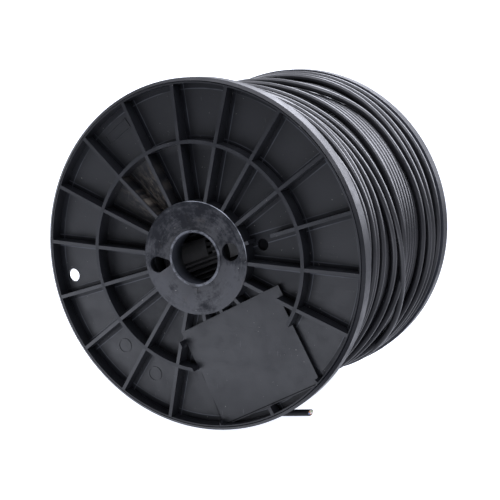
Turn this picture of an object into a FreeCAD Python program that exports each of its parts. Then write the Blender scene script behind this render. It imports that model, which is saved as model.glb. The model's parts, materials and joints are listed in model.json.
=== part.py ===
"""Cable spool: two ribbed flanges on a barrel, wound with four-pair data cable.

Frame: origin at the centre of the axle bore, midway between the flanges. +Y runs along the bore,
away from the front flange; +Z is up. The spool stands on its rims. Lengths are in millimetres and
angles in degrees; a clock angle is measured clockwise from the top, seen from the front.
"""
import FreeCAD, Part
import math
import os
import Sketcher
from FreeCAD import Placement, Rotation, Vector

SIZES = {
    # distances from the mid plane to the faces of a flange, from the inside out
    "web_back": 98.25,
    "web_front": 100.95,
    "pad_face": 105.25,
    "rim_edge": 110.25,
    "lip_face": 112.25,
    "rib_top": 114.75,
    "hub_face": 115.25,
    "bore_lip": 115.85,
    "hub_ceiling": 112.25,
    "sleeve_end": 98.75,
    "groove_floor": 111.55,
    # radii of a flange
    "bore_radius": 21.75,
    "bore_lip_radius": 24.0,
    "sleeve_radius": 24.75,
    "hub_inside": 45.3,
    "hub_radius": 48.3,
    "ring_inside": 95.8,
    "ring_outside": 98.8,
    "rim_inside": 145.4,
    "lip_outside": 146.5,
    "groove_radius": 146.9,
    "shoulder_radius": 147.4,
    "flange_radius": 150.0,
    # ribs
    "rib_count": 18,
    "rib_turn": 1.0,
    "rib_thickness": 3.0,
    "rib_root": 47.0,
    "rib_end": 146.0,
    # label pad, on the radius at pad_angle
    "pad_angle": 151.0,
    "pad_near": 50.5,
    "pad_far": 138.7,
    "pad_half": 50.0,
    "pad_corner_far": 136.4,
    "pad_corner_half": 43.4,
    "pad_tab_half": 54.0,
    "pad_tab_far": 60.0,
    # holes: x and z of each centre, seen from the front
    "start_x": 56.1,
    "start_z": 13.7,
    "start_radius": 5.0,
    "relief_x": 59.1,
    "relief_z": 20.3,
    "relief_radius": 10.5,
    "finish_x": -131.7,
    "finish_z": -28.9,
    "finish_radius": 5.8,
    "drive_x": 32.9,
    "drive_z": 7.9,
    "drive_radius": 7.7,
    "keyed_x": -36.3,
    "keyed_z": -8.5,
    "keyed_radius": 7.0,
    "notch_x": -26.8,
    "notch_z": -6.4,
    "notch_radius": 3.1,
    "notch_root_top_x": -34.9,
    "notch_root_top_z": -1.7,
    "notch_root_low_x": -32.2,
    "notch_root_low_z": -14.1,
    "notch_end_top_x": -26.3,
    "notch_end_top_z": -3.4,
    "notch_end_low_x": -25.1,
    "notch_end_low_z": -9.0,
    # small raised marks
    "mark_height": 0.5,
    "pointer_x": 1.5,
    "pointer_half": 2.6,
    "pointer_top": -25.0,
    "pointer_tip": -29.5,
    "plaque_angle": -39.0,
    "plaque_near": 126.6,
    "plaque_far": 135.6,
    "plaque_half": 13.2,
    "plaque_inside_near": 127.4,
    "plaque_inside_far": 134.8,
    "plaque_inside_half": 12.4,
    "stamp_radius": 6.5,
    "stamp_border": 0.7,
    "stamp_one_x": -79.0,
    "stamp_one_z": -88.0,
    "stamp_two_x": -48.5,
    "stamp_two_z": -110.0,
    # barrel
    "spigot_end": 108.25,
    "spigot_outside": 45.2,
    "spigot_inside": 42.5,
    "spigot_root": 82.0,
    "barrel_inside": 45.3,
    "barrel_rib_count": 10,
    "barrel_rib_inside": 37.5,
    "barrel_rib_outside": 46.5,
    "barrel_rib_thickness": 2.6,
    # winding
    "winding_front_radius": 129.0,
    "winding_lay": 86.0,
    "winding_lay_radius": 135.0,
    "winding_rise": 50.0,
    "winding_rise_radius": 141.0,
    "winding_full": 5.0,
    "winding_full_radius": 143.5,
    "winding_back": 55.0,
    "winding_back_radius": 145.2,
    # free end of the cable
    "cable_radius": 3.0,
    "sheath_bore": 2.3,
    "strip_depth": 14.0,
    "wire_radius": 0.46,
    "core_radius": 0.255,
    "pair_offset": 1.25,
    "white_extra": 0.5,
    "orange_angle": 135.0,
    "orange_reach": 2.0,
    "blue_angle": 225.0,
    "blue_reach": 1.8,
    "green_angle": 45.0,
    "green_reach": 3.3,
    "brown_angle": 315.0,
    "brown_reach": 3.0,
    "rip_radius": 0.3,
    "rip_reach": 1.0,
}

# Where the free end runs: off the bottom of the winding, down to the floor and out past the rim.
TAIL_ROUTE = [
    (-46.0, -86.0, -130.7),
    (-28.0, -84.6, -137.0),
    (-9.5, -79.5, -142.7),
    (10.5, -70.0, -146.6),
    (31.5, -59.2, -147.0),
    (52.5, -48.8, -147.0),
    (72.3, -38.6, -147.0),
]
ARC_SHARE = 0.45        # of the shorter run, taken up by the arc at a point of the route
VOLUME_MATCH = 0.002    # how far the tube's volume may be from its section times its length

PAIR_COLOURS = ["orange", "blue", "green", "brown"]

doc = FreeCAD.newDocument("wire_spool")


def make_sheet():
    """Writes every driving dimension into a spreadsheet under its own alias."""
    sheet = doc.addObject("Spreadsheet::Sheet", "size")
    for row, (alias, value) in enumerate(SIZES.items(), start=1):
        sheet.set(f"A{row}", alias)
        sheet.set(f"B{row}", str(value))
        sheet.setAlias(f"B{row}", alias)
    doc.recompute()


def number(term):
    """The value of an alias, which may have a minus sign in front."""
    sign = -1 if term.startswith("-") else 1
    return sign * SIZES[term.lstrip("-")]


def formula(term):
    """The same term as an expression that reads the spreadsheet."""
    return term.replace("-", "-size.") if term.startswith("-") else f"size.{term}"


def origin_feature(body, role):
    return next(f for f in body.Origin.OriginFeatures if f.Role == role)


def new_body(name):
    body = doc.addObject("PartDesign::Body", name)
    body.Label = name
    return body


def new_sketch(body, name, plane, offset=None, turn=None):
    """A sketch on an origin plane, moved along its normal and turned by an optional Rotation."""
    sketch = body.newObject("Sketcher::SketchObject", name)
    sketch.AttachmentSupport = [(origin_feature(body, plane), "")]
    sketch.MapMode = "FlatFace"
    if turn is not None:
        sketch.AttachmentOffset = Placement(Vector(), turn)
    if offset is not None:
        sketch.setExpression("AttachmentOffset.Base.z", formula(offset))
    return sketch


def bind_point(sketch, geometry, vertex, terms):
    """Holds one vertex at a pair of sheet values, measured from the sketch's origin."""
    for kind, term in zip(("DistanceX", "DistanceY"), terms):
        index = sketch.addConstraint(
            Sketcher.Constraint(kind, -1, 1, geometry, vertex, number(term)))
        sketch.setExpression(f"Constraints[{index}]", formula(term))


def add_polygon(sketch, corners):
    """A closed outline whose corners are pairs of sheet values."""
    points = [Vector(number(u), number(v), 0) for u, v in corners]
    first = sketch.GeometryCount
    for start, end in zip(points, points[1:] + points[:1]):
        sketch.addGeometry(Part.LineSegment(start, end))
    count = len(corners)
    for i in range(count):
        following = first + (i + 1) % count
        sketch.addConstraint(Sketcher.Constraint("Coincident", first + i, 2, following, 1))
        bind_point(sketch, first + i, 1, corners[i])


def add_circle(sketch, centre, radius, less=None):
    """A circle with its centre and radius on sheet values; less is taken off the radius."""
    value = number(radius) - (number(less) if less else 0)
    point = Vector(number(centre[0]), number(centre[1]), 0)
    circle = sketch.addGeometry(Part.Circle(point, Vector(0, 0, 1), value))
    bind_point(sketch, circle, 3, centre)
    index = sketch.addConstraint(Sketcher.Constraint("Radius", circle, value))
    text = formula(radius) + (f" - size.{less}" if less else "")
    sketch.setExpression(f"Constraints[{index}]", text)


def revolve(body, name, corners):
    """Turns an outline of (radius, height along Y) pairs about the Y axis."""
    sketch = new_sketch(body, name + "_outline", "XY_Plane")
    add_polygon(sketch, corners)
    solid = body.newObject("PartDesign::Revolution", name)
    solid.Profile = sketch
    solid.ReferenceAxis = (sketch, ["V_Axis"])
    solid.Angle = 360
    return solid


def raise_pad(body, sketch, name, length):
    pad = body.newObject("PartDesign::Pad", name)
    pad.Profile = sketch
    pad.setExpression("Length", length)
    return pad


def cut_pocket(body, sketch, name, length):
    pocket = body.newObject("PartDesign::Pocket", name)
    pocket.Profile = sketch
    pocket.setExpression("Length", length)
    return pocket


def pattern_about_y(body, feature, name, count):
    pattern = body.newObject("PartDesign::PolarPattern", name)
    pattern.Originals = [feature]
    pattern.Axis = (origin_feature(body, "Y_Axis"), [""])
    pattern.Angle = 360
    pattern.setExpression("Occurrences", f"size.{count}")
    body.Tip = pattern
    return pattern


def flange_disc(body):
    """Hub, web, middle ring and rim in one revolved outline."""
    return revolve(body, "disc", [
        ("bore_radius", "-bore_lip"),
        ("bore_lip_radius", "-bore_lip"),
        ("bore_lip_radius", "-hub_face"),
        ("hub_radius", "-hub_face"),
        ("hub_radius", "-web_front"),
        ("ring_inside", "-web_front"),
        ("ring_inside", "-rib_top"),
        ("ring_outside", "-rib_top"),
        ("ring_outside", "-web_front"),
        ("rim_inside", "-web_front"),
        ("rim_inside", "-lip_face"),
        ("lip_outside", "-lip_face"),
        ("groove_radius", "-groove_floor"),
        ("shoulder_radius", "-lip_face"),
        ("flange_radius", "-rim_edge"),
        ("flange_radius", "-web_back"),
        ("hub_inside", "-web_back"),
        ("hub_inside", "-hub_ceiling"),
        ("sleeve_radius", "-hub_ceiling"),
        ("sleeve_radius", "-sleeve_end"),
        ("bore_radius", "-sleeve_end"),
    ])


def flange_ribs(body):
    """Radial ribs whose tops slope down to the rim's lip outside the middle ring."""
    turn = Rotation(Vector(0, 1, 0), SIZES["rib_turn"])
    sketch = new_sketch(body, "rib_side", "XY_Plane", turn=turn)
    add_polygon(sketch, [
        ("rib_root", "-web_front"),
        ("rib_root", "-rib_top"),
        ("ring_outside", "-rib_top"),
        ("rib_end", "-lip_face"),
        ("rib_end", "-web_front"),
    ])
    rib = raise_pad(body, sketch, "rib", "size.rib_thickness")
    rib.Midplane = True
    pattern_about_y(body, rib, "ribs", "rib_count")


def pad_outline(sketch, far_side):
    """The label pad's plan, with its tab; far_side lists its corners beside the rim."""
    add_polygon(sketch, [
        ("-pad_tab_half", "pad_near"),
        ("pad_half", "pad_near"),
        *far_side,
        ("-pad_half", "pad_tab_far"),
        ("-pad_tab_half", "pad_tab_far"),
    ])


def flange_label_pad(body):
    """Clears the ribs off a flat raised pad where a label would go."""
    turn = Rotation(Vector(0, 0, 1), -SIZES["pad_angle"])
    room = new_sketch(body, "pad_room_plan", "XZ_Plane", "bore_lip", turn)
    pad_outline(room, [
        ("pad_half", "pad_corner_far"),
        ("pad_corner_half", "pad_far"),
        ("-pad_corner_half", "pad_far"),
        ("-pad_half", "pad_corner_far"),
    ])
    cut_pocket(body, room, "pad_room", "size.bore_lip - size.pad_face")
    plan = new_sketch(body, "pad_plan", "XZ_Plane", "web_front", turn)
    pad_outline(plan, [("pad_half", "pad_far"), ("-pad_half", "pad_far")])
    raise_pad(body, plan, "label_pad", "size.pad_face - size.web_front")


def flange_cable_holes(body):
    """The start hole beside the hub, with the rib cut away round it, and the finish hole."""
    relief = new_sketch(body, "relief_plan", "XZ_Plane", "bore_lip")
    add_circle(relief, ("relief_x", "relief_z"), "relief_radius")
    cut_pocket(body, relief, "rib_relief", "size.bore_lip - size.web_front")
    holes = new_sketch(body, "cable_hole_plan", "XZ_Plane", "bore_lip")
    add_circle(holes, ("start_x", "start_z"), "start_radius")
    add_circle(holes, ("finish_x", "finish_z"), "finish_radius")
    cut_pocket(body, holes, "cable_holes", "size.bore_lip - size.web_back + 1")


def flange_drive_holes(body):
    """Two holes through the hub's face, one of them with a rounded notch towards the bore."""
    depth = "size.bore_lip - size.hub_ceiling + 1"
    holes = new_sketch(body, "drive_hole_plan", "XZ_Plane", "bore_lip")
    add_circle(holes, ("drive_x", "drive_z"), "drive_radius")
    add_circle(holes, ("keyed_x", "keyed_z"), "keyed_radius")
    cut_pocket(body, holes, "drive_holes", depth)
    throat = new_sketch(body, "throat_plan", "XZ_Plane", "bore_lip")
    add_polygon(throat, [("notch_root_top_x", "notch_root_top_z"),
                         ("notch_end_top_x", "notch_end_top_z"),
                         ("notch_end_low_x", "notch_end_low_z"),
                         ("notch_root_low_x", "notch_root_low_z")])
    cut_pocket(body, throat, "throat", depth)
    tip = new_sketch(body, "notch_plan", "XZ_Plane", "bore_lip")
    add_circle(tip, ("notch_x", "notch_z"), "notch_radius")
    cut_pocket(body, tip, "notch", depth)


def flange_marks(body):
    """A pointer on the hub, an empty raised frame and two ring stamps on the web."""
    pointer = new_sketch(body, "pointer_plan", "XZ_Plane", "hub_face")
    add_polygon(pointer, [("-pointer_half", "pointer_top"), ("pointer_half", "pointer_top"),
                          ("pointer_x", "pointer_tip")])
    raise_pad(body, pointer, "pointer", "size.mark_height")
    turn = Rotation(Vector(0, 0, 1), -SIZES["plaque_angle"])
    plaque = new_sketch(body, "plaque_plan", "XZ_Plane", "web_front", turn)
    add_polygon(plaque, [("-plaque_half", "plaque_near"), ("plaque_half", "plaque_near"),
                         ("plaque_half", "plaque_far"), ("-plaque_half", "plaque_far")])
    add_polygon(plaque, [("-plaque_inside_half", "plaque_inside_near"),
                         ("plaque_inside_half", "plaque_inside_near"),
                         ("plaque_inside_half", "plaque_inside_far"),
                         ("-plaque_inside_half", "plaque_inside_far")])
    raise_pad(body, plaque, "plaque", "size.mark_height")
    stamps = new_sketch(body, "stamp_plan", "XZ_Plane", "web_front")
    for centre in (("stamp_one_x", "stamp_one_z"), ("stamp_two_x", "stamp_two_z")):
        add_circle(stamps, centre, "stamp_radius")
        add_circle(stamps, centre, "stamp_radius", less="stamp_border")
    raise_pad(body, stamps, "stamps", "size.mark_height")


def make_flange(name):
    """One moulded flange, outer side towards -Y."""
    body = new_body(name)
    flange_disc(body)
    flange_ribs(body)
    flange_label_pad(body)
    flange_cable_holes(body)
    flange_drive_holes(body)
    flange_marks(body)
    return body


def make_barrel():
    """The tube between the flanges, with a spigot at each end and ribs along its inside."""
    body = new_body("barrel")
    revolve(body, "tube", [
        ("spigot_inside", "-spigot_end"),
        ("spigot_outside", "-spigot_end"),
        ("spigot_outside", "-web_back"),
        ("hub_radius", "-web_back"),
        ("hub_radius", "web_back"),
        ("spigot_outside", "web_back"),
        ("spigot_outside", "spigot_end"),
        ("spigot_inside", "spigot_end"),
        ("spigot_inside", "spigot_root"),
        ("barrel_inside", "spigot_root"),
        ("barrel_inside", "-spigot_root"),
        ("spigot_inside", "-spigot_root"),
    ])
    side = new_sketch(body, "inner_rib_side", "XY_Plane")
    add_polygon(side, [
        ("barrel_rib_inside", "-spigot_root"),
        ("barrel_rib_outside", "-spigot_root"),
        ("barrel_rib_outside", "spigot_root"),
        ("barrel_rib_inside", "spigot_root"),
    ])
    rib = raise_pad(body, side, "inner_rib", "size.barrel_rib_thickness")
    rib.Midplane = True
    pattern_about_y(body, rib, "inner_ribs", "barrel_rib_count")
    return body


def make_winding():
    """The whole winding as one ring, lower beside the front flange."""
    body = new_body("wound_cable")
    revolve(body, "winding", [
        ("hub_radius", "-web_back"),
        ("winding_front_radius", "-web_back"),
        ("winding_lay_radius", "-winding_lay"),
        ("winding_rise_radius", "-winding_rise"),
        ("winding_full_radius", "-winding_full"),
        ("winding_back_radius", "winding_back"),
        ("winding_back_radius", "web_back"),
        ("hub_radius", "web_back"),
    ])
    return body


def rounded_path(points):
    """Straight runs joined by tangent arcs: the wire, and the arcs' radii."""
    edges, radii = [], []
    start = points[0]
    for before, corner, after in zip(points, points[1:], points[2:]):
        arrive = (corner - before).normalize()
        leave = (after - corner).normalize()
        half_turn = arrive.getAngle(leave) / 2
        trim = ARC_SHARE * min(before.distanceToPoint(corner), corner.distanceToPoint(after))
        radius = trim / math.tan(half_turn)
        inward = (leave - arrive).normalize()
        middle = corner + inward * (radius / math.cos(half_turn) - radius)
        first, last = corner - arrive * trim, corner + leave * trim
        edges.append(Part.LineSegment(start, first).toShape())
        edges.append(Part.Arc(first, middle, last).toShape())
        radii.append(radius)
        start = last
    edges.append(Part.LineSegment(start, points[-1]).toShape())
    return Part.Wire(edges), radii


def tail_frame():
    """The cut end of the cable: z along the cable, y up, origin at the bottom of the bore."""
    before, end = (Vector(*point) for point in TAIL_ROUTE[-2:])
    along = (end - before).normalize()
    turn = Rotation(Vector(), Vector(0, 0, 1), along, "ZYX")
    return Placement(end - along * SIZES["strip_depth"], turn)


def new_cylinder(name, radius, height):
    cylinder = doc.addObject("Part::Cylinder", name)
    cylinder.setExpression("Radius", radius)
    cylinder.setExpression("Height", height)
    return cylinder


def make_tail_sheath():
    """The free end's sheath, swept along its route and bored at the cut end."""
    points = [Vector(*point) for point in TAIL_ROUTE]
    wire, radii = rounded_path(points)
    print("cord radii, mm:", [round(radius, 1) for radius in radii])
    route = doc.addObject("Part::Feature", "tail_route")
    route.Shape = wire
    ring = doc.addObject("Part::Circle", "tail_section")
    ring.setExpression("Radius", "size.cable_radius")
    ring.Placement = Placement(points[0], Rotation(Vector(0, 0, 1), points[1] - points[0]))
    tube = doc.addObject("Part::Sweep", "tail_tube")
    tube.Sections = [ring]
    tube.Spine = (route, [f"Edge{i + 1}" for i in range(len(wire.Edges))])
    tube.Solid = True
    bore = new_cylinder("sheath_bore", "size.sheath_bore", "size.strip_depth + 1")
    bore.Placement = tail_frame()
    sheath = doc.addObject("Part::Cut", "tail_sheath")
    sheath.Base, sheath.Tool = tube, bore
    sheath.Label = "tail_sheath"
    doc.recompute()
    expected = math.pi * SIZES["cable_radius"] ** 2 * wire.Length
    print(f"cord length {wire.Length:.1f} mm, volume {tube.Shape.Volume:.1f},"
          f" section times length {expected:.1f}")
    if abs(tube.Shape.Volume / expected - 1) > VOLUME_MATCH:
        raise RuntimeError("the tail's tube doesn't fill its route")
    return sheath


def make_wire(name, place, reach):
    """One insulated conductor: its coloured insulation and its copper core."""
    length = f"size.strip_depth + {reach}"
    outside = new_cylinder(name + "_outside", "size.wire_radius", length)
    hole = new_cylinder(name + "_hole", "size.core_radius", length)
    insulation = doc.addObject("Part::Cut", name)
    insulation.Base, insulation.Tool = outside, hole
    insulation.Placement = place
    core = new_cylinder(name + "_core", "size.core_radius", length)
    core.Placement = place
    for piece, label in ((insulation, name), (core, name + "_core")):
        piece.Label = label
    return [insulation, core]


def make_wires():
    """Four pairs of conductors in the bored end, each pair side by side round the cable."""
    pieces = []
    for colour in PAIR_COLOURS:
        turn = Placement(Vector(), Rotation(Vector(0, 0, 1), SIZES[colour + "_angle"]))
        reach = f"size.{colour}_reach"
        for name, side, extra in ((colour, -1, ""), ("white_" + colour, 1, " + size.white_extra")):
            step = Vector(SIZES["pair_offset"], side * SIZES["wire_radius"], 0)
            place = tail_frame() * turn * Placement(step, Rotation())
            pieces += make_wire(name + "_wire", place, reach + extra)
    return pieces


def make_rip_cord():
    """The thread along the middle of the cable that slits its sheath."""
    cord = new_cylinder("rip_cord", "size.rip_radius", "size.strip_depth + size.rip_reach")
    cord.Label = "rip_cord"
    cord.Placement = tail_frame()
    return cord


def check(pieces):
    """Stops on a failed object, a null or invalid shape, or a node that isn't one solid."""
    failed = [o.Name for o in doc.Objects if {"Invalid", "Error"} & set(o.State)]
    if failed:
        raise RuntimeError(f"objects failed to rebuild: {failed}")
    for piece in pieces:
        shape = piece.Shape
        if shape.isNull() or not shape.isValid() or len(shape.Solids) != 1:
            raise RuntimeError(f"{piece.Label} is not one valid solid")
        print(f"{piece.Label:24s} {shape.Volume:12.2f} mm3")


def export(pieces):
    os.makedirs("parts", exist_ok=True)
    for piece in pieces:
        piece.Shape.exportStep(f"parts/{piece.Label}.step")


def main():
    make_sheet()
    front = make_flange("front_flange")
    rear = make_flange("rear_flange")
    rear.Placement = Placement(Vector(), Rotation(Vector(0, 0, 1), 180))
    pieces = [front, rear, make_barrel(), make_winding(), make_tail_sheath()]
    pieces += make_wires() + [make_rip_cord()]
    doc.recompute()
    check(pieces)
    export(pieces)


main()
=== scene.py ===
"""Looks of the wire spool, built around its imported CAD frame. Lengths are in metres."""
import json
import math

import bpy
import numpy as np
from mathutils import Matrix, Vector


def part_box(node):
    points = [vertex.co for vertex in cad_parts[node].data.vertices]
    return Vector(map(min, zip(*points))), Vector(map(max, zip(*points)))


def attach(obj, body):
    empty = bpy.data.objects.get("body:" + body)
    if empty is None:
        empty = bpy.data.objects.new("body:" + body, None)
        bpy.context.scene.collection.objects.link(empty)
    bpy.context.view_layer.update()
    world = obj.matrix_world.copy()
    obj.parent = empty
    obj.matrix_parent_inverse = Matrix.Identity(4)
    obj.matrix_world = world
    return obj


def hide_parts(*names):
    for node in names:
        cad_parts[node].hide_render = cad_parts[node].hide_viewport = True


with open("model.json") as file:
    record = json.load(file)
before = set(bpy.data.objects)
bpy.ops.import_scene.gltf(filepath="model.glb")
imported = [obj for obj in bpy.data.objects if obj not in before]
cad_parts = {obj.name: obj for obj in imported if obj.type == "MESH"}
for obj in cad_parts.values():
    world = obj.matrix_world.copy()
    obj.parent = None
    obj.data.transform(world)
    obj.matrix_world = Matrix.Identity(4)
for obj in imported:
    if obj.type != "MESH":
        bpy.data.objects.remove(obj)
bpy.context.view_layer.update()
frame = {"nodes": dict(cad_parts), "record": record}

MM = 0.001
FLOOR_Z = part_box("front_flange")[0].z
WEB_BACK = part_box("wound_cable")[1].y            # inner face of each flange
CABLE_RADIUS = 3.0 * MM
CABLE_WIDTH = 2 * CABLE_RADIUS
SLOTS = {part["node"]: part["material_slot"] for part in frame["record"]["subparts"]}

# ---------------------------------------------------------------- camera

CAMERA_PLACE = Vector((0.46917, -0.97663, 0.18784))
CAMERA_AIM = Vector((-0.42937, 0.88471, -0.18148))
CAMERA_LENS = 85.89


def make_camera():
    """The photograph's viewing angle."""
    data = bpy.data.cameras.new("camera")
    data.lens = CAMERA_LENS
    data.sensor_width = 36
    data.clip_start, data.clip_end = 0.01, 100
    camera = bpy.data.objects.new("camera", data)
    camera.location = CAMERA_PLACE
    camera.rotation_mode = "QUATERNION"
    camera.rotation_quaternion = CAMERA_AIM.to_track_quat("-Z", "Y")
    bpy.context.scene.collection.objects.link(camera)
    bpy.context.scene.camera = camera


# ---------------------------------------------------------------- node helpers


class Nodes:
    """Short ways to add and join the nodes of one material."""

    def __init__(self, name):
        self.material = bpy.data.materials.new(name)
        self.material.use_nodes = True
        self.tree = self.material.node_tree
        self.tree.nodes.clear()
        self.shader = self.add("ShaderNodeBsdfPrincipled")
        out = self.add("ShaderNodeOutputMaterial")
        self.link(self.shader.outputs["BSDF"], out.inputs["Surface"])
        self.place = self.add("ShaderNodeTexCoord").outputs["Object"]

    def add(self, kind, **settings):
        """Adds a node and sets its properties."""
        node = self.tree.nodes.new(kind)
        for key, value in settings.items():
            setattr(node, key, value)
        return node

    def link(self, source, target):
        self.tree.links.new(source, target)

    def put(self, value, socket):
        """Joins a socket to an input, or sets the input to a plain value."""
        if isinstance(value, bpy.types.NodeSocket):
            self.link(value, socket)
        else:
            socket.default_value = value

    def noise(self, scale, detail=4.0, roughness=0.55, vector=None):
        """Noise over the place on the piece, or over another vector."""
        node = self.add("ShaderNodeTexNoise")
        self.link(self.place if vector is None else vector, node.inputs["Vector"])
        node.inputs["Scale"].default_value = scale
        node.inputs["Detail"].default_value = detail
        node.inputs["Roughness"].default_value = roughness
        return node.outputs["Fac"]

    def stretched(self, factors):
        """The place on the piece, scaled along each axis, which makes noise streaky."""
        node = self.add("ShaderNodeVectorMath", operation="MULTIPLY")
        self.link(self.place, node.inputs[0])
        node.inputs[1].default_value = factors
        return node.outputs["Vector"]

    def axes(self):
        """The X, Y and Z sockets of the place on the piece."""
        node = self.add("ShaderNodeSeparateXYZ")
        self.link(self.place, node.inputs[0])
        return node.outputs

    def flat(self, x, y):
        """A texture place that has only x and y."""
        node = self.add("ShaderNodeCombineXYZ")
        self.link(x, node.inputs["X"])
        self.link(y, node.inputs["Y"])
        return node.outputs[0]

    def ramp(self, value, low, high, start=0.0, end=1.0):
        """Maps low..high to start..end smoothly, held outside."""
        node = self.add("ShaderNodeMapRange", interpolation_type="SMOOTHSTEP")
        self.put(value, node.inputs["Value"])
        for key, number in (("From Min", low), ("From Max", high), ("To Min", start), ("To Max", end)):
            node.inputs[key].default_value = number
        return node.outputs["Result"]

    def math(self, operation, first, second=0.0):
        node = self.add("ShaderNodeMath", operation=operation)
        self.put(first, node.inputs[0])
        self.put(second, node.inputs[1])
        return node.outputs["Value"]

    def times(self, first, *others):
        for other in others:
            first = self.math("MULTIPLY", first, other)
        return first

    def plus(self, first, second):
        return self.math("ADD", first, second)

    def minus(self, first, second):
        return self.math("SUBTRACT", first, second)

    def most(self, first, *others):
        for other in others:
            first = self.math("MAXIMUM", first, other)
        return first

    def between(self, value, low, full_low, full_high, high):
        """One from full_low to full_high, falling smoothly to nothing at low and high."""
        return self.times(self.ramp(value, low, full_low), self.ramp(value, high, full_high))

    def near(self, value, middle, nothing, full, end=1.0):
        """A band round middle: end within full of it, and nothing further off than that."""
        off = self.math("ABSOLUTE", self.minus(value, middle))
        return self.ramp(off, nothing, full, 0.0, end)

    def mix(self, factor, first, second):
        """The first colour where the factor is nothing, and the second where it is one."""
        node = self.add("ShaderNodeMix", data_type="RGBA")
        self.put(factor, node.inputs["Factor"])
        self.put(first, node.inputs["A"])
        self.put(second, node.inputs["B"])
        return node.outputs["Result"]

    def bump(self, height, strength, distance, under=None):
        """A normal from a height, on top of another bump if there is one."""
        node = self.add("ShaderNodeBump")
        node.inputs["Strength"].default_value = strength
        node.inputs["Distance"].default_value = distance
        self.link(height, node.inputs["Height"])
        if under is not None:
            self.link(under, node.inputs["Normal"])
        return node.outputs["Normal"]

    def set(self, **values):
        """Sets the shader's inputs and returns the material."""
        for key, value in values.items():
            self.put(value, self.shader.inputs[key.replace("_", " ")])
        return self.material


def rgb(red, green, blue):
    return (red, green, blue, 1.0)


# ---------------------------------------------------------------- materials

# Places on the moulding that its wear, painted light and painted shade follow, as soft edges in metres.
# First from mid-width:
WEB = (0.1002, 0.1006, 0.1011, 0.1014)
PAD_SIDES = (0.1002, 0.1006, 0.1062, 0.1070)
IN_BARREL = (0.0980, 0.0976)
INNER_FACE = (0.0990, 0.0986)
BETWEEN_RIBS = (0.1140, 0.1120)
RIB_TOPS = (0.1135, 0.1146)
HUB_FACE = (0.1146, 0.1151)
LIP_FACE = (0.1149, 0.1154)
DOWN_BORE = (0.1145, 0.0990)

# Then from the axle:
BORE = (0.0226, 0.0220)
LIP = (0.0243, 0.0238)
HUB_INSIDE = (0.040, 0.025)
BARREL_RIBS = (0.0418, 0.0424, 0.0468, 0.0472)
HUB = (0.0486, 0.0483)
HUB_EDGE = (0.0476, 0.0480)
INNER_BAYS = (0.0485, 0.0530, 0.0952, 0.0962)
INNER_WEB = (0.094, 0.088)
MIDDLE_RING = (0.0950, 0.0956, 0.0984, 0.0990)
BY_MIDDLE_RING = (0.0984, 0.0988, 0.1013, 0.1017)
OVER_WINDING = (0.130, 0.134)
BY_RIM = (0.1403, 0.1408)
RIM = (0.1452, 0.1462)

# Mould lines: beside each rib, round the middle ring and inside the rim.
FIRST_FLANGE_RIB, HALF_BAY = 11, 10     # degrees: where the ribs start, and half the step between them
LINE_BY_RIB, LINE_BY_RING, LINE_BY_RIM = 0.0050, 0.1015, 0.1405
LINE_WIDTH = (0.00055, 0.00020)         # how far off a line ends, and how near it is full
BORDER_FADE = 0.0002

# The label pad: the direction from the axle to its foot, where the foot and the slanting left edge
# lie along and beside it, where each fades in, and how wide the painted shade along each is.
PAD_SIDE, PAD_UP = 0.485, 0.875
PAD_FOOT, PAD_FOOT_FROM, PAD_FOOT_WIDTH = 0.1375, (-0.056, -0.054), (0.0006, 0.0002)
PAD_EDGE, PAD_EDGE_FROM, PAD_EDGE_WIDTH = 0.0380, (0.086, 0.092), (0.0011, 0.0003)
PAD_EDGE_SLOPE = 0.126

# Clock angles in radians, and heights and places to the right of the axle.
# The first clock angles bound the painted highlight on the hub's edge.
HIGHLIGHT_CLOCKS = (-0.5, 0.2, 1.2, 1.6)
DUSTY_CLOCKS = (-1.25, -0.80, -0.54, -0.46)
# Where the rim's reflection is dimmed as painted shade: heights, and places to the right.
SHADED_RIM_HEIGHTS, SHADED_RIM_RIGHT = (-0.125, -0.085, -0.07, 0.03), (0.03, 0.09)

# How much specular level each mark takes away from the plain 0.5.
# The second value dims the reflection as painted shade, in the pad's creases, between the barrel's ribs
# and low on the rim.
PLAIN_SHINE, SHADE_DIMMING = 0.5, 0.42
# The first value here dims the reflection as painted shade down the bore.
BORE_SHADE_DIMMING, BORDER_DULL, INNER_WEB_DULL, RING_DULL = 0.30, 0.22, 0.16, 0.14
HUB_DULL = (0.34, 0.04)                 # where it is unworn and where it is worn

PLASTIC_DARK, PLASTIC_PALE = rgb(0.0055, 0.0060, 0.0080), rgb(0.0085, 0.0092, 0.0115)
RUBBED, INNER_SCUFF = rgb(0.013, 0.014, 0.017), rgb(0.030, 0.032, 0.039)
MOULD_LINE = rgb(0.065, 0.069, 0.080)
# Painted shade: dark lines in the pad's creases, and the walls between the barrel's ribs.
CREASE_SHADE, GAP_SHADE = rgb(0.0010, 0.0010, 0.0015), rgb(0.0012, 0.0012, 0.0016)
HUB_DARK, HUB_PALE = rgb(0.0060, 0.0070, 0.0100), rgb(0.034, 0.035, 0.040)
HUB_BROWN, HUB_SHADE = rgb(0.030, 0.023, 0.018), rgb(0.0060, 0.0060, 0.0070)
# The first colour is a painted highlight on the hub's edge; the second is the bore lip's wear.
HUB_EDGE_HIGHLIGHT, WORN_LIP = rgb(0.42, 0.44, 0.48), rgb(0.115, 0.120, 0.135)
# Painted light on the bore wall, and painted shade further down it.
BORE_LIT_DARK, BORE_LIT_PALE = rgb(0.010, 0.012, 0.016), rgb(0.050, 0.053, 0.064)
BORE_DEEP_SHADE = rgb(0.0035, 0.0040, 0.0055)
DUST, SCRATCH, SPECK = rgb(0.185, 0.158, 0.128), rgb(0.16, 0.16, 0.17), rgb(0.30, 0.29, 0.27)


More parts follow.
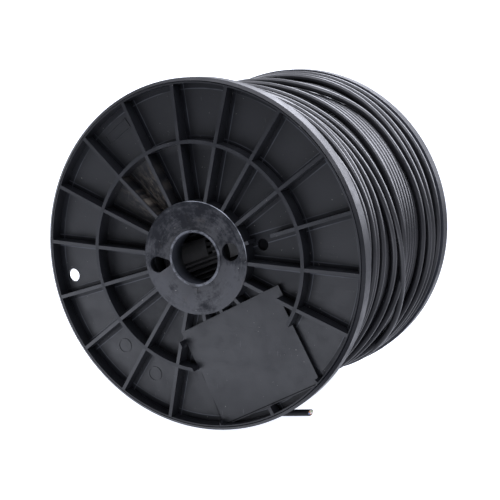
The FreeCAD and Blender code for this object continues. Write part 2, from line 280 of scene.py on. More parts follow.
class MouldedPlastic(Nodes):
    """Satin black plastic of the flanges and the barrel. Each method adds one kind of wear, painted light
    or painted shade.

    The masks work on the distance from mid-width (depth), the distance from the axle (radius) and
    the clock angle in radians, seen from outside, so that both flanges carry the same marks.
    """

    def __init__(self):
        super().__init__("moulded_plastic")
        axes = self.axes()
        self.side, self.up = axes["X"], axes["Z"]
        self.depth = self.math("ABSOLUTE", axes["Y"])
        self.radius = self.math("SQRT", self.plus(self.times(self.side, self.side),
                                                  self.times(self.up, self.up)))
        self.across = self.times(self.side, self.math("SIGN", axes["Y"]), -1.0)
        self.clock = self.math("ARCTAN2", self.across, self.up)
        self.fine = self.noise(70.0, 6.0, 0.65)
        self.cloud = self.noise(34.0, 9.0, 0.72)
        self.web = self.between(self.depth, *WEB)
        self.rib_tops = self.ramp(self.depth, *RIB_TOPS)
        self.hub = self.times(self.ramp(self.radius, *HUB), self.ramp(self.depth, *HUB_FACE))
        self.colour = self.mix(self.noise(9.0, 5.0), PLASTIC_DARK, PLASTIC_PALE)
        self.dull = 0.0
        self.dust = 0.0

    def paint(self, mask, colour):
        self.colour = self.mix(mask, self.colour, colour)

    def take_shine(self, mask, amount):
        """Lowers the specular level by amount where the mask is one."""
        self.dull = self.most(self.dull, self.times(mask, amount))

    def rubbed_edges(self):
        """Rubbed rib tops, a duller middle ring and a paler inner face by the winding."""
        self.paint(self.times(self.rib_tops, self.ramp(self.fine, 0.35, 0.7, 0.2, 1.0)), RUBBED)
        inner_face = self.times(self.ramp(self.depth, *INNER_FACE), self.ramp(self.radius, *OVER_WINDING))
        self.paint(inner_face, INNER_SCUFF)
        self.take_shine(self.times(self.between(self.radius, *MIDDLE_RING), self.rib_tops), RING_DULL)

    def mould_lines(self):
        """Pale lines on the web and the dull borders beside them."""
        turned = self.minus(self.clock, math.radians(FIRST_FLANGE_RIB))
        beside_rib = self.times(self.radius, self.math("PINGPONG", turned, math.radians(HALF_BAY)))
        lines = self.most(self.near(beside_rib, LINE_BY_RIB, *LINE_WIDTH),
                          self.near(self.radius, LINE_BY_RING, *LINE_WIDTH),
                          self.near(self.radius, LINE_BY_RIM, *LINE_WIDTH))
        worn_off = self.ramp(self.noise(24.0, 3.0), 0.36, 0.58, 0.2, 1.0)
        self.paint(self.times(lines, self.web, worn_off), MOULD_LINE)
        borders = self.most(self.between(self.radius, *BY_MIDDLE_RING), self.ramp(self.radius, *BY_RIM),
                            self.ramp(beside_rib, LINE_BY_RIB + BORDER_FADE, LINE_BY_RIB - BORDER_FADE))
        self.take_shine(self.times(borders, self.web), BORDER_DULL)
        self.take_shine(self.times(self.web, self.ramp(self.radius, *INNER_WEB)), INNER_WEB_DULL)

    def pad_crease_shade(self):
        """Painted shade along the label pad's foot and its slanting side, as thin dark lines."""
        along = self.minus(self.times(self.across, PAD_SIDE), self.times(self.up, PAD_UP))
        aside = self.plus(self.times(self.across, PAD_UP), self.times(self.up, PAD_SIDE))
        foot = self.times(self.near(along, PAD_FOOT, *PAD_FOOT_WIDTH), self.ramp(aside, *PAD_FOOT_FROM))
        slant = self.minus(self.times(along, -PAD_EDGE_SLOPE), PAD_EDGE)
        edge = self.times(self.near(aside, slant, *PAD_EDGE_WIDTH, 0.45),
                          self.ramp(along, *PAD_EDGE_FROM))
        # Painted shade: dark lines at the pad's foot and slanting edge.
        crease_shade = self.times(self.most(foot, edge), self.between(self.depth, *PAD_SIDES))
        self.paint(crease_shade, CREASE_SHADE)
        self.take_shine(crease_shade, SHADE_DIMMING)

    def worn_hub_and_edge_highlight(self):
        """Cloudy and arc-shaped wear, paler towards the bottom and darker towards the bore, with a
        painted highlight along the upper right of the edge.
        """
        arcs = self.noise(420.0, 5.0, 0.7, self.flat(self.radius, self.times(self.clock, 0.006)))
        wear = self.plus(self.times(arcs, 0.22), self.times(self.cloud, 0.78))
        # Makes the hub paler towards the bottom and darker at the top.
        paler_below = self.ramp(self.up, 0.040, -0.030, -0.035, 0.085)
        wear = self.ramp(self.plus(wear, paler_below), 0.42, 0.62)
        brown = self.ramp(self.noise(52.0, 7.0, 0.7), 0.55, 0.68, 0.0, 0.5)
        shade = self.ramp(self.radius, *HUB_INSIDE, 0.0, 0.35)
        worn = self.mix(wear, HUB_DARK, HUB_PALE)
        worn = self.mix(brown, worn, HUB_BROWN)
        worn = self.mix(shade, worn, HUB_SHADE)
        self.paint(self.hub, worn)
        self.take_shine(self.hub, self.ramp(wear, 0.0, 1.0, *HUB_DULL))
        # A painted highlight along the hub's upper right edge.
        edge_highlight = self.times(self.ramp(self.radius, *HUB_EDGE), self.hub,
                          self.between(self.clock, *HIGHLIGHT_CLOCKS))
        self.paint(self.times(edge_highlight, self.ramp(self.fine, 0.35, 0.60, 0.2, 1.0)), HUB_EDGE_HIGHLIGHT)

    def bore_and_barrel(self):
        """The lip of the bore, painted light on the bore's streaky wall with painted shade further down,
        and painted shade between the barrel's ribs.
        """
        lip = self.times(self.ramp(self.radius, *LIP), self.ramp(self.depth, *LIP_FACE))
        self.paint(self.times(lip, self.ramp(self.noise(170.0, 5.0, 0.7), 0.38, 0.60)), WORN_LIP)
        bore = self.ramp(self.radius, *BORE)
        # Painted light on the bore wall, turning to painted shade further down.
        inward = self.ramp(self.depth, *DOWN_BORE)
        lit_streaks = self.noise(90.0, 4.0, 0.6, self.stretched((1.0, 0.12, 1.0)))
        self.paint(bore, self.mix(inward, self.mix(lit_streaks, BORE_LIT_DARK, BORE_LIT_PALE), BORE_DEEP_SHADE))
        self.take_shine(self.times(bore, inward), BORE_SHADE_DIMMING)
        # Painted shade on the walls between the barrel's ribs.
        gap_shade = self.times(self.between(self.radius, *BARREL_RIBS), self.ramp(self.depth, *IN_BARREL))
        self.paint(gap_shade, GAP_SHADE)
        self.take_shine(gap_shade, SHADE_DIMMING)

    def dust_and_scratches(self):
        """Brown dust in the inner bays at the upper left, and scratches and specks everywhere."""
        spread = self.flat(self.times(self.radius, 0.25), self.times(self.clock, 0.07))
        drifts = self.ramp(self.noise(420.0, 8.0, 0.75, spread), 0.42, 0.64)
        thinning = self.ramp(self.radius, 0.100, 0.058, 0.2, 1.0)
        bays = self.times(self.between(self.radius, *INNER_BAYS), self.ramp(self.depth, *BETWEEN_RIBS))
        self.dust = self.times(bays, self.between(self.clock, *DUSTY_CLOCKS), drifts, thinning)
        self.paint(self.times(self.dust, 0.85), DUST)
        scratch = self.ramp(self.noise(60.0, 2.0, 0.4, self.stretched((7.0, 1.0, 1.2))), 0.735, 0.755)
        self.paint(self.times(scratch, 0.12), SCRATCH)
        self.paint(self.times(self.ramp(self.noise(430.0, 2.0), 0.745, 0.77), 0.5), SPECK)

    def painted_shade_below(self):
        """Painted shade: the outer rim reflects less low on the right."""
        low = self.between(self.up, *SHADED_RIM_HEIGHTS)
        right = self.ramp(self.side, *SHADED_RIM_RIGHT)
        self.take_shine(self.times(low, right, self.ramp(self.radius, *RIM)), SHADE_DIMMING)

    def finished(self):
        """Joins the layers to the shader. Dust is rough, and the hub's roughness follows its clouds."""
        rough = self.ramp(self.fine, 0.3, 0.75, 0.36, 0.50)
        rough = self.plus(rough, self.times(self.hub, self.ramp(self.cloud, 0.40, 0.62, -0.04, 0.12)))
        rough = self.plus(rough, self.times(self.dust, 0.3))
        grain = self.bump(self.noise(900.0, 3.0), 0.10, 0.0002)
        grooves = self.noise(46.0, 3.0, 0.5, self.stretched((1.0, 8.0, 9.0)))
        normal = self.bump(self.ramp(grooves, 0.60, 0.64), 0.10, 0.0002, grain)
        return self.set(Base_Color=self.colour, Roughness=rough, Normal=normal, IOR=1.5,
                        Specular_IOR_Level=self.minus(PLAIN_SHINE, self.dull))


def flange_material():
    """Satin black moulded plastic: mould lines, scuffs, dust and a worn, cloudy hub disc, with painted
    shade, painted light on the bore wall and a painted highlight on the hub's edge.
    """
    plastic = MouldedPlastic()
    plastic.rubbed_edges()
    plastic.mould_lines()
    plastic.pad_crease_shade()
    plastic.worn_hub_and_edge_highlight()
    plastic.bore_and_barrel()
    plastic.dust_and_scratches()
    plastic.painted_shade_below()
    return plastic.finished()


SHEATH_DARK, SHEATH_PALE = rgb(0.0085, 0.0087, 0.0105), rgb(0.0125, 0.0128, 0.0150)
SHEATH_SPECK = rgb(0.20, 0.20, 0.20)


def cable_material():
    """Glossy black sheath with faint streaks and a little dust. As painted shade it reflects less low on
    the spool, and a little more again just above the floor.
    """
    n = Nodes("cable_sheath")
    streak = n.noise(60.0, 4.0, 0.6)
    colour = n.mix(streak, SHEATH_DARK, SHEATH_PALE)
    speck = n.ramp(n.noise(520.0, 2.0), 0.74, 0.77)
    colour = n.mix(n.times(speck, 0.35), colour, SHEATH_SPECK)
    rough = n.ramp(n.noise(35.0, 5.0, 0.6), 0.3, 0.7, 0.27, 0.38)
    normal = n.bump(n.noise(260.0, 4.0), 0.02, 0.0003)
    up = n.axes()["Z"]
    # Painted shade: less reflection the lower the cable lies, and a little more again just above the
    # floor.
    painted_shade_below = n.ramp(up, 0.020, -0.060, 0.5, 0.08)
    near_floor = n.ramp(up, -0.138, -0.143, 0.0, 0.09)
    shine = n.plus(painted_shade_below, near_floor)
    return n.set(Base_Color=colour, Roughness=rough, Specular_IOR_Level=shine, Normal=normal, IOR=1.62)


def insulation_material(name, colour):
    """Slightly uneven coloured plastic of one conductor."""
    n = Nodes(name)
    shade = n.noise(700.0, 3.0)
    darker = rgb(*(0.75 * c for c in colour))
    rough = n.ramp(n.noise(900.0, 3.0), 0.3, 0.7, 0.30, 0.42)
    return n.set(Base_Color=n.mix(shade, darker, rgb(*colour)), Roughness=rough,
                 Specular_IOR_Level=0.2, Normal=n.bump(shade, 0.05, 0.0001))


def copper_material():
    """Bare copper with small changes of tone."""
    n = Nodes("copper")
    tone = n.noise(1500.0, 3.0)
    return n.set(Base_Color=n.mix(tone, rgb(0.72, 0.30, 0.16), rgb(0.95, 0.50, 0.32)),
                 Metallic=1.0, Roughness=n.ramp(tone, 0.3, 0.7, 0.22, 0.38))


# ---------------------------------------------------------------- mesh helpers


def add_mesh(name, vertices, faces, material, smooth=True):
    """Adds a mesh object with one material to the scene."""
    mesh = bpy.data.meshes.new(name)
    mesh.from_pydata([tuple(v) for v in vertices], [], faces)
    mesh.materials.append(material)
    if smooth:
        mesh.polygons.foreach_set("use_smooth", [True] * len(mesh.polygons))
    mesh.update()
    piece = bpy.data.objects.new(name, mesh)
    bpy.context.scene.collection.objects.link(piece)
    return piece


def ring_faces(rows, count, hollow=False):
    """Quads between rings of count points: a rod with flat ends, or hollow, a closed loop of rings."""
    faces = [[r * count + i, r * count + (i + 1) % count,
              (r + 1) % rows * count + (i + 1) % count, (r + 1) % rows * count + i]
             for r in range(rows if hollow else rows - 1) for i in range(count)]
    if not hollow:
        faces += [list(range(count))[::-1], list(range((rows - 1) * count, rows * count))]
    return faces


def tube_mesh(line, radius, sides):
    """Vertices and quads of a tube along an open line of points, with both ends closed."""
    line = np.asarray(line)
    along = np.gradient(line, axis=0)
    along /= np.linalg.norm(along, axis=1)[:, None]
    side = np.cross(along, [0.0, 1.0, 0.0])
    side /= np.linalg.norm(side, axis=1)[:, None]
    up = np.cross(side, along)
    turn = np.linspace(0, 2 * math.pi, sides, endpoint=False)
    ring = np.cos(turn)[None, :, None] * side[:, None] + np.sin(turn)[None, :, None] * up[:, None]
    vertices = (line[:, None] + radius * ring).reshape(-1, 3)
    return vertices, ring_faces(len(line), sides)


# ---------------------------------------------------------------- free end of the cable

# The middle of the free end, in mm, from under the winding to the CAD sheath's cut end.
TAIL_ROUTE = [
    (-46.0, -86.0, -130.7),
    (-28.0, -84.6, -137.0),
    (-9.5, -79.5, -142.7),
    (10.5, -70.0, -146.6),
    (31.5, -59.2, -147.0),
    (52.5, -48.8, -147.0),
    (72.3, -38.6, -147.0),
]

CUT_BACK = 1.3                      # mm from the end of the curve to the end of the CAD sheath
CUT_MIDDLE, CUT_SLOPE = 1.3, 0.86   # mm the slanting cut reaches past that end, and more per mm across
SHEATH_RADIUS, BORE_RADIUS = 3.0, 2.3
SLEEVE_SIDES, ROD_SIDES = 32, 16

# Radius of the insulation and of the copper, and how far each stands out of the slanting cut, in mm.
INSULATION, COPPER = (0.56, 0.35), (0.255, 0.50)

# Where each conductor lies in the cut end: mm away from the camera and mm up.
CONDUCTORS = {
    "orange_wire": (-1.05, 1.15), "white_orange_wire": (0.25, 1.65),
    "green_wire": (1.45, 0.90), "white_green_wire": (1.65, -0.15),
    "blue_wire": (-1.50, -0.55), "white_blue_wire": (-0.40, -0.60),
    "brown_wire": (0.30, -1.65), "white_brown_wire": (1.30, -1.15),
}


def make_tail(material, finishes):
    """The free end as one smooth curve over the route that the CAD tube also follows."""
    before, end = (Vector(place) for place in TAIL_ROUTE[-2:])
    route = [Vector(place) for place in TAIL_ROUTE[:-1]]
    route.append(end - (end - before).normalized() * CUT_BACK)
    curve = bpy.data.curves.new("cable_tail", "CURVE")
    curve.dimensions = "3D"
    curve.bevel_depth = CABLE_RADIUS
    curve.bevel_resolution = 6
    spline = curve.splines.new("NURBS")
    spline.points.add(len(route) - 1)
    for point, place in zip(spline.points, route):
        point.co = (*(place * MM), 1.0)
    spline.order_u = 3
    spline.use_endpoint_u = True
    spline.resolution_u = 16
    curve.materials.append(material)
    tail = bpy.data.objects.new("cable_tail", curve)
    bpy.context.scene.collection.objects.link(tail)
    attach(tail, "root")
    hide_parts("tail_sheath")
    cut_sleeve(material)
    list(conductors(finishes))


def cut_rings(middle, rows, count):
    """Rings of points round a line beside the cable's middle, at its cut end.

    Each row is a radius, how far the ring lies past the end, both in mm, and whether it slants
    with the cut.
    """
    before, end = (Vector(place) for place in TAIL_ROUTE[-2:])
    along = (end - before).normalized()
    up = Vector((0, 0, 1))
    away = up.cross(along)
    points = []
    for radius, length, slanting in rows:
        for i in range(count):
            turn = 2 * math.pi * i / count
            x = middle[0] + radius * math.cos(turn)
            y = middle[1] + radius * math.sin(turn)
            reach = length + (CUT_MIDDLE + CUT_SLOPE * x if slanting else 0.0)
            points.append((end + away * x + up * y + along * reach) * MM)
    return points


def cut_sleeve(material):
    """The last millimetres of the sheath, cut off at a slant, with the bore the conductors lie in."""
    overlap, depth, edge = 0.6, 3.0, 0.1
    rows = (
        (SHEATH_RADIUS - 0.01, -CUT_BACK - overlap, False),
        (SHEATH_RADIUS, -edge, True),
        (SHEATH_RADIUS - 0.07, 0.0, True),
        (BORE_RADIUS + 0.06, 0.0, True),
        (BORE_RADIUS, -edge, True),
        (BORE_RADIUS, -CUT_BACK - depth, False),
    )
    sleeve = add_mesh("tail_cut_sleeve", cut_rings((0, 0), rows, SLEEVE_SIDES),
                      ring_faces(len(rows), SLEEVE_SIDES, hollow=True), material)
    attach(sleeve, "root")
    return sleeve


def conductors(finishes):
    """The eight insulated conductors and their copper, ending on the same slant as the sheath."""
    length, edge, narrowing = 6.0, 0.06, 0.88
    pieces = []
    for name, middle in CONDUCTORS.items():
        for node, (radius, past) in ((name, INSULATION), (name + "_core", COPPER)):
            rows = ((radius, -length, False), (radius, past - edge, True),
                    (radius * narrowing, past, True))
            rod = add_mesh(node + "_cut", cut_rings(middle, rows, ROD_SIDES),
                           ring_faces(len(rows), ROD_SIDES), finishes[SLOTS[node]])
            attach(rod, "root")
            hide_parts(node)
            pieces.append(rod)
    return pieces


# ---------------------------------------------------------------- inside of the barrel

RIB_PITCH, FIRST_RIB = 7.2, 18.0        # degrees
CAD_RIB_EVERY = 5                       # the CAD barrel already has every fifth rib
LINING_RIB = (41.5, 45.8)               # inner and outer radius in mm
LINING_WIDTH = 2.4                      # degrees
LINING_END, COVERED_END = 97.0, 10.0    # mm from mid-width; the second where front plates cover ribs
PLATE = (40.2, 41.5)                    # inner and outer radius of the smooth plates over the ribs
PLATE_POINTS = 9                        # points along a plate's curve
FRONT_PLATE, FRONT_PLATE_ENDS = (65.5, 88.5), (-97.0, -22.0)    # clock angles, and mm along the axle
REAR_PLATE, REAR_PLATE_ENDS = (55.5, 74.0), (14.0, 97.0)


def curved_block(clocks, radii, ends):
    """A closed block between two radii and two places along the axle, over some clock angles."""
    (inner, outer), (front, back) = radii, ends
    points = []
    for clock in clocks:
        side, up = math.sin(math.radians(clock)), math.cos(math.radians(clock))
        for radius, place in ((inner, front), (outer, front), (outer, back), (inner, back)):
            points.append((radius * MM * side, place * MM, radius * MM * up))
    last = 4 * (len(clocks) - 1)
    faces = [[0, 1, 2, 3], [last + 3, last + 2, last + 1, last]]
    faces += [[4 * i + (j + 1) % 4, 4 * i + j, 4 * i + 4 + j, 4 * i + 4 + (j + 1) % 4]
              for i in range(len(clocks) - 1) for j in range(4)]
    return points, faces


def make_lining(material):
    """Fine ribs between the barrel's ten CAD ribs, with two plates over some of them at each end."""
    blocks = []
    for k in range(round(360 / RIB_PITCH)):
        if k % CAD_RIB_EVERY:
            clock = FIRST_RIB + k * RIB_PITCH
            covered = FRONT_PLATE[0] < clock % 180 < FRONT_PLATE[1]
            end = COVERED_END if covered else LINING_END
            blocks.append(curved_block((clock - LINING_WIDTH / 2, clock + LINING_WIDTH / 2),
                                       LINING_RIB, (-end, end)))
    for clocks, ends in ((FRONT_PLATE, FRONT_PLATE_ENDS), (REAR_PLATE, REAR_PLATE_ENDS)):
        for turn in (0, 180):
            blocks.append(curved_block(np.linspace(*clocks, PLATE_POINTS) + turn, PLATE, ends))
    vertices, faces = [], []
    for points, sides in blocks:
        faces += [[len(vertices) + i for i in side] for side in sides]
        vertices += points
    lining = add_mesh("barrel_lining", vertices, faces, material, smooth=False)
    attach(lining, "root")


# ---------------------------------------------------------------- winding

SAMPLES = 216            # points round one turn
TUBE_SIDES = 10
CORE_SIDES = 120
SCALLOP = (-80, -40, 0, 40, 80)     # degrees: the points on each of the core's turns that show
NEAT_PITCH = 6.12 * MM
LAYER_STEP = 5.6 * MM    # from one layer's middle to the next one's
FREE_EDGE = WEB_BACK - CABLE_RADIUS - 0.3 * MM    # the furthest a turn's middle lies from mid-width

# Outer radius of the winding along the spool (y and radius in mm), lower beside the front flange.
OUTER_PROFILE = [(-98.25, 131.0), (-86.0, 135.0), (-70.0, 139.0), (-50.0, 141.2),
                 (-5.0, 143.0), (20.0, 144.0), (55.0, 145.2), (80.0, 146.4), (98.25, 148.6)]

# The layer under the top turns is packed, with a gap in it that ends at this y. All in mm.
GAP_AT, GAP_WIDTH = 5.0, 10.0
SWAY, DOUBLE_SWAY = 1.6, 0.9            # how far its turns swing, once and twice round the spool
SWAY_PHASE, DOUBLE_SWAY_PHASE = 0.6, 2.0
SWAY_FADE = 12.0                        # how far from a flange they swing freely

# The top turns, from the rear flange to the front one. Each row is one turn's y in mm at these
# clock angles, and the cable runs from the first angle to the last one, then on to the next row.
TOP_CLOCKS = (95, 75, 55, 35, 15)
TOP_TURNS = [
    (94.5, 94.0, 94.5, 93.5, 94.5),
    (83.5, 78.0, 79.5, 82.5, 85.0),
    (76.0, 69.0, 65.5, 73.0, 78.0),
    (56.0, 58.0, 50.0, 56.0, 24.0),
    (10.0, 5.0, 3.0, 3.5, -9.0),
    (-12.0, -24.0, -33.0, -39.0, -52.0),
    (-39.0, -41.0, -43.0, -51.0, -60.0),
    (-54.0, -53.0, -53.5, -52.0, -57.0),
    (-60.0, -58.0, -59.5, -59.0, -66.0),
    (-72.0, -65.5, -69.0, -74.0, -80.0),
    (-81.0, -78.0, -74.5, -77.0, -84.0),
]

# Before its first row and after its last one the run goes on this far round and to the side.
LEAD_IN, LEAD_OUT, LEAD_SHIFT = 90, 150, 6

# The last wrap crosses the others from the rear flange to the front one: clock angle and y in mm.
LAST_WRAP = [
    (215, 95.0), (180, 93.0), (160, 84.0), (145, 70.0), (130, 52.0), (112, 24.0), (97, 2.0),
    (85, -9.0), (65, -16.0), (45, -20.0), (25, -34.0), (10, -45.0), (-15, -60.0), (-50, -72.0),
    (-90, -80.0), (-130, -84.5), (-160.6, -86.0),
]
RUN_ON = 40              # points over which the last wrap meets the start of the free end


def outer_radius(y):
    """The winding's outer radius at places along the spool."""
    places, radii = zip(*OUTER_PROFILE)
    return np.interp(y, np.array(places) * MM, np.array(radii) * MM)


def smoothed(values, width):
    """A running mean with a bell-shaped weight, held at both ends."""
    reach = int(3 * width)
    weight = np.exp(-0.5 * (np.arange(-reach, reach + 1) / width) ** 2)
    padded = np.concatenate([np.full(reach, values[0]), values, np.full(reach, values[-1])])
    return np.convolve(padded, weight / weight.sum(), mode="valid")


def spoke(clock):
    """The number of the spoke nearest to a clock angle. There is one for each sample of a turn."""
    return round(clock / 360 * SAMPLES)


def course(points):
    """Places along the spool, one for each spoke, smoothly through (clock, y in mm) points."""
    clocks, ys = (np.array(column, float) for column in zip(*points))
    grid = np.arange(spoke(clocks[0]), spoke(clocks[-1]) - 1, -1)
    places = np.interp(-grid / SAMPLES * 360, -clocks, ys)
    return np.clip(smoothed(places, SAMPLES / 45) * MM, -FREE_EDGE, FREE_EDGE)


class Winding:
    """Turns of cable laid one on another. Each point rests on what lies under it."""

    def __init__(self):
        self.laid = [[] for _ in range(SAMPLES)]
        self.lines = []

    def rest(self, number, y, floor):
        """The lowest radius at which the cable's middle can lie at y, on the spoke of this number."""
        if not self.laid[number]:
            return floor
        known = np.array(self.laid[number])
        gap = np.abs(known[:, 0] - y)
        near = gap < CABLE_WIDTH
        if not near.any():
            return floor
        step = np.sqrt(CABLE_WIDTH ** 2 - gap[near] ** 2)
        return max(floor, float((known[near, 1] + step).max()))

    def lay(self, clock, ys, level, most, stiffness=5.0):
        """Lays a run from this clock angle on, turning towards smaller angles.

        The run can lie as far as level layers below the winding's outer radius. Where it crosses
        other turns it is pressed in until it stands out from that radius no further than most.
        """
        numbers = [(spoke(clock) - i) % SAMPLES for i in range(len(ys))]
        floors = outer_radius(ys) - CABLE_RADIUS - level * LAYER_STEP
        raw = np.empty(len(ys))
        marks = []
        for i, (number, y) in enumerate(zip(numbers, ys)):
            raw[i] = self.rest(number, y, floors[i])
            marks.append((number, len(self.laid[number])))
            self.laid[number].append((y, raw[i]))
        spread = int(stiffness)
        high = np.array([raw[max(0, i - spread):i + spread + 1].max() for i in range(len(raw))])
        radii = smoothed(np.minimum(high, outer_radius(ys) - CABLE_RADIUS + most), stiffness)
        for (number, order), y, radius in zip(marks, ys, radii):
            self.laid[number][order] = (y, radius)
        angle = 2 * math.pi * np.array(numbers) / SAMPLES
        line = np.stack([radii * np.sin(angle), ys, radii * np.cos(angle)], -1)
        self.lines.append(line)
        return line


def packed_layer():
    """The layer under the top turns, laid side by side from the front flange to the rear one."""
    room = 2 * FREE_EDGE - GAP_WIDTH * MM
    turns = int(room / NEAT_PITCH)
    count = turns * SAMPLES
    ys = -FREE_EDGE + np.cumsum(np.full(count, room / count))
    ys += GAP_WIDTH * MM * np.clip((ys - (GAP_AT - GAP_WIDTH) * MM) / NEAT_PITCH, 0, 1)
    clock = np.linspace(0, turns * 2 * math.pi, count)
    sway = SWAY * np.sin(clock + SWAY_PHASE) + DOUBLE_SWAY * np.sin(2 * clock + DOUBLE_SWAY_PHASE)
    inward = np.clip((FREE_EDGE - np.abs(ys)) / (SWAY_FADE * MM), 0, 1)
    return ys + sway * MM * inward


def top_course():
    """The whole run of top turns, with the back of each turn led over to the next row."""
    points = [(TOP_CLOCKS[0] + LEAD_IN, TOP_TURNS[0][0] + LEAD_SHIFT)]
    for turn, row in enumerate(TOP_TURNS):
        points += [(clock - 360 * turn, y) for clock, y in zip(TOP_CLOCKS, row)]
    last_clock = TOP_CLOCKS[-1] - 360 * (len(TOP_TURNS) - 1)
    points.append((last_clock - LEAD_OUT, TOP_TURNS[-1][-1] - LEAD_SHIFT))
    return points


def ease(count, reach):
    """A weight for each of count points: one at the first, falling smoothly to nothing at reach."""
    return np.clip(1 - np.arange(count) / reach, 0, 1) ** 2


def buried_ends(line, depth, end=True):
    """Leads a run's start, and its end if wanted, down between the turns under it."""
    fade = ease(len(line), SAMPLES / 9)
    drop = fade + fade[::-1] if end else fade
    outward = line * np.array([1, 0, 1])
    outward /= np.linalg.norm(outward, axis=1)[:, None]
    line -= outward * (drop * depth)[:, None]


def wind_cable():
    """The lines of the three outer runs. The last one ends where the free end starts."""
    winding = Winding()
    buried_ends(winding.lay(0, packed_layer(), level=1, most=0), CABLE_WIDTH)
    route = top_course()
    top = winding.lay(route[0][0], course(route), level=0.4, most=0.8 * MM, stiffness=7)
    buried_ends(top, 2 * CABLE_WIDTH)
    last = winding.lay(LAST_WRAP[0][0], course(LAST_WRAP), level=0.2, most=2.4 * MM, stiffness=8)
    buried_ends(last, 2 * CABLE_WIDTH, end=False)
    last += ease(len(last), RUN_ON)[::-1, None] * (np.array(TAIL_ROUTE[0]) * MM - last[-1])
    return winding.lines


def make_winding(material):
    """The outer turns of cable as one mesh, and the core under them."""
    vertices, faces, first = [], [], 0
    for line in wind_cable():
        points, quads = tube_mesh(line, CABLE_RADIUS, TUBE_SIDES)
        vertices.append(points)
        faces += [[first + i for i in face] for face in quads]
        first += len(points)
    turns = add_mesh("wound_turns", np.concatenate(vertices), faces, material)
    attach(turns, "root")
    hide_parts("wound_cable")
    core = make_core(material)
    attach(core, "root")


def make_core(material):
    """The winding's inner layers as one drum, scalloped like cable where it shows in the gaps."""
    turns = int(2 * FREE_EDGE / NEAT_PITCH)
    middles = np.linspace(-FREE_EDGE, FREE_EDGE, turns)
    outline = []
    for middle in middles:
        for lean in SCALLOP:
            y = middle + CABLE_RADIUS * math.sin(math.radians(lean))
            rise = CABLE_RADIUS * math.cos(math.radians(lean))
            outline.append((outer_radius(y) - CABLE_RADIUS - 2 * LAYER_STEP + rise, y))
    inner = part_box("barrel")[1].x + 0.1 * MM
    profile = [(inner, -WEB_BACK), (outline[0][0] - CABLE_RADIUS, -WEB_BACK), *outline,
               (outline[-1][0] - CABLE_RADIUS, WEB_BACK), (inner, WEB_BACK)]
    spokes = [(math.sin(turn), math.cos(turn))
              for turn in (2 * math.pi * i / CORE_SIDES for i in range(CORE_SIDES))]
    vertices = [(radius * side, y, radius * up) for radius, y in profile for side, up in spokes]
    faces = ring_faces(len(profile), CORE_SIDES, hollow=True)
    return add_mesh("winding_inside", vertices, faces, material)


# ---------------------------------------------------------------- light and floor

SOFTBOX_COLOUR = (0.94, 0.96, 1.08)
WORLD_COLOUR = (0.95, 0.97, 1.08, 1.0)
FLOOR_GLOW = (0.93, 0.97, 1.09, 1.0)
FLOOR_HALF = 14.0        # half the floor's width in metres

# Name, place, the place it points at, width and height, and power in watts.
SOFTBOXES = (
    ("overhead_softbox", (0.02, 0.0, 0.44), (0.02, 0.0, 0.0), (0.80, 0.80), 1.7),
    ("front_softbox", (-0.02, -0.30, 0.68), (0.0, 0.0, 0.05), (0.70, 0.30), 1.6),
    ("front_right_softbox", (0.52, -0.36, 0.56), (0.1, 0.0, 0.1), (0.36, 0.36), 2.0),
    ("back_softbox", (0.24, 0.50, 0.58), (0.16, 0.0, 0.12), (0.82, 0.46), 6.6),
    ("side_softbox", (0.500, 0.35, 0.30), (0.23, -0.178, 0.13), (0.42, 0.36), 2.7),
)

# The background's strength is the product of these: axis, from, to, strength at each of the two.
WORLD_RAMPS = (
    ("Z", 0.05, 0.5, 1.2, 0.5),
    ("Y", -0.5, 0.4, 0.12, 1.0),
    ("X", -0.45, -0.25, 1.7, 1.0),
)


def add_softbox(name, place, target, size, power):
    """A rectangular light that points at the target."""
    data = bpy.data.lights.new(name, "AREA")
    data.shape = "RECTANGLE"
    data.size, data.size_y = size
    data.energy = power
    data.color = SOFTBOX_COLOUR
    light = bpy.data.objects.new(name, data)
    light.location = place
    light.rotation_mode = "QUATERNION"
    light.rotation_quaternion = (Vector(target) - Vector(place)).to_track_quat("-Z", "Y")
    bpy.context.scene.collection.objects.link(light)


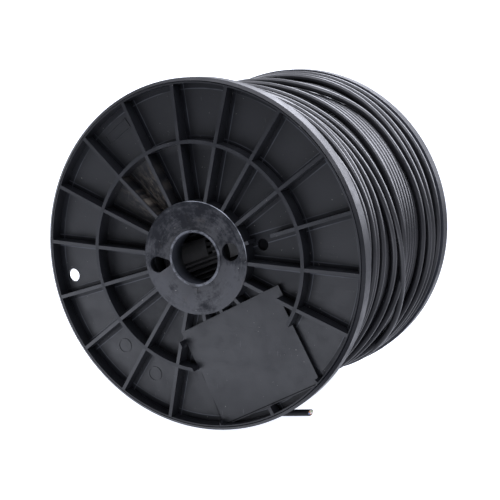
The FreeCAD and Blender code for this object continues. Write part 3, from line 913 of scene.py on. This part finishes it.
def make_world():
    """White round the horizon at the back and brighter at the left, darker overhead and in front."""
    world = bpy.data.worlds.new("studio")
    bpy.context.scene.world = world
    world.use_nodes = True
    tree = world.node_tree
    way = tree.nodes.new("ShaderNodeTexCoord").outputs["Generated"]
    parts = tree.nodes.new("ShaderNodeSeparateXYZ")
    tree.links.new(way, parts.inputs[0])
    strength = None
    for axis, low, high, start, end in WORLD_RAMPS:
        ramp = tree.nodes.new("ShaderNodeMapRange")
        tree.links.new(parts.outputs[axis], ramp.inputs["Value"])
        for key, value in (("From Min", low), ("From Max", high), ("To Min", start), ("To Max", end)):
            ramp.inputs[key].default_value = value
        if strength is None:
            strength = ramp.outputs["Result"]
        else:
            product = tree.nodes.new("ShaderNodeMath")
            product.operation = "MULTIPLY"
            tree.links.new(strength, product.inputs[0])
            tree.links.new(ramp.outputs["Result"], product.inputs[1])
            strength = product.outputs["Value"]
    background = tree.nodes["Background"]
    background.inputs["Color"].default_value = WORLD_COLOUR
    tree.links.new(strength, background.inputs["Strength"])


def floor_material():
    """White studio floor that glows, less so in the foreground, behind the flange and at the right."""
    n = Nodes("pale_floor")
    axes = n.axes()
    side, back = axes["X"], axes["Y"]
    foreground = n.ramp(back, -1.00, -0.2, 0.24, 2.35)
    left = n.ramp(side, -0.5, 0.4, 1.32, 0.75)
    behind = n.ramp(back, -0.34, -0.12, 1.0, 0.46)
    right = n.ramp(n.plus(side, n.times(back, 0.247)), 0.23, 0.34, 1.0, 0.12)
    glow = n.times(foreground, left, behind, right)
    tone = n.mix(n.noise(1.5, 3.0), rgb(0.48, 0.48, 0.49), rgb(0.52, 0.52, 0.53))
    return n.set(Base_Color=tone, Roughness=0.7, Emission_Color=FLOOR_GLOW, Emission_Strength=glow)


def make_stage():
    """The floor, the background and the lights."""
    corners = [(-FLOOR_HALF, -FLOOR_HALF, FLOOR_Z), (FLOOR_HALF, -FLOOR_HALF, FLOOR_Z),
               (FLOOR_HALF, FLOOR_HALF, FLOOR_Z), (-FLOOR_HALF, FLOOR_HALF, FLOOR_Z)]
    floor = add_mesh("floor", corners, [[0, 1, 2, 3]], floor_material(), smooth=False)
    make_world()
    for softbox in SOFTBOXES:
        add_softbox(*softbox)
    bpy.context.scene.view_settings.view_transform = "Standard"


# ---------------------------------------------------------------- everything together


def dress_nodes(plastic, copper):
    """Gives every CAD piece its material. Returns the materials by slot."""
    colours = {m["slot"]: m["base_color"][:3] for m in frame["record"]["materials"]}
    made = {"flange_plastic": plastic, "copper": copper}
    for name, node in frame["nodes"].items():
        slot = SLOTS[name]
        if slot not in made:
            made[slot] = insulation_material(slot, colours[slot])
        node.data.materials.clear()
        node.data.materials.append(made[slot])
    return made


make_camera()
sheath = cable_material()
finishes = dress_nodes(flange_material(), copper_material())
make_tail(sheath, finishes)
make_lining(finishes["flange_plastic"])
make_winding(sheath)
make_stage()
